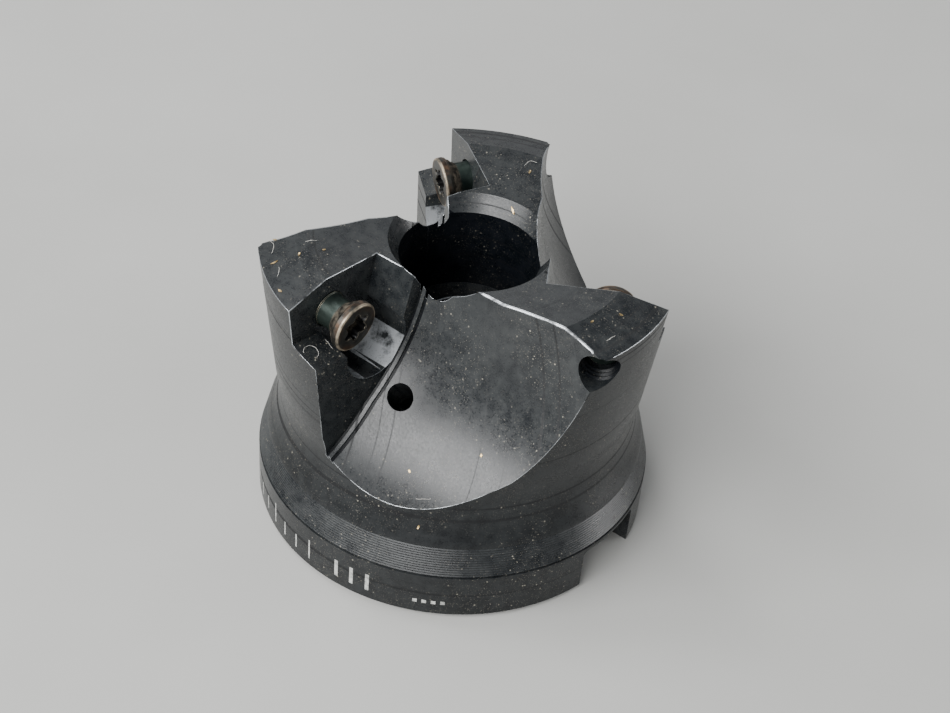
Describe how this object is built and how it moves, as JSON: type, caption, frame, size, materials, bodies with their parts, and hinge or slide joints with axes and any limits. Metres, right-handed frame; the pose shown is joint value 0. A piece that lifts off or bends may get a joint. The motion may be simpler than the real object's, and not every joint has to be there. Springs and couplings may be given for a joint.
{
  "type": "face mill",
  "caption": "Face mill body without its inserts: three pockets with loosened insert screws, chip gullets and a keyed arbor bore.",
  "frame": {"origin": "centre of the back face, on the cutter axis", "axes": "+Z along the cutter axis towards the nose; X along the two drive slots"},
  "size_m": [0.05, 0.05, 0.0391],
  "materials": {
    "black_oxide_steel": "black oxide on turned and milled tool steel, satin, edges worn bright",
    "screw_steel": "hardened screw steel, light rust on the head, greenish oil film on the shank"
  },
  "bodies": {
    "cutter_body": {"cutter_body": "black_oxide_steel"},
    "insert_screw_1": {"insert_screw_1": "screw_steel"},
    "insert_screw_2": {"insert_screw_2": "screw_steel"},
    "insert_screw_3": {"insert_screw_3": "screw_steel"}
  },
  "joints": [
    {"name": "insert_screw_1_thread", "type": "slide", "parent": "cutter_body", "child": "insert_screw_1", "axis": [0.9945, -0.0521, -0.0906], "range_m": [-0.0013, 0.0035]},
    {"name": "insert_screw_2_thread", "type": "slide", "parent": "cutter_body", "child": "insert_screw_2", "axis": [-0.4521, 0.8873, -0.0906], "range_m": [0, 0.0048]},
    {"name": "insert_screw_3_thread", "type": "slide", "parent": "cutter_body", "child": "insert_screw_3", "axis": [-0.5424, -0.8352, -0.0906], "range_m": [-0.00065, 0.00415]}
  ]
}
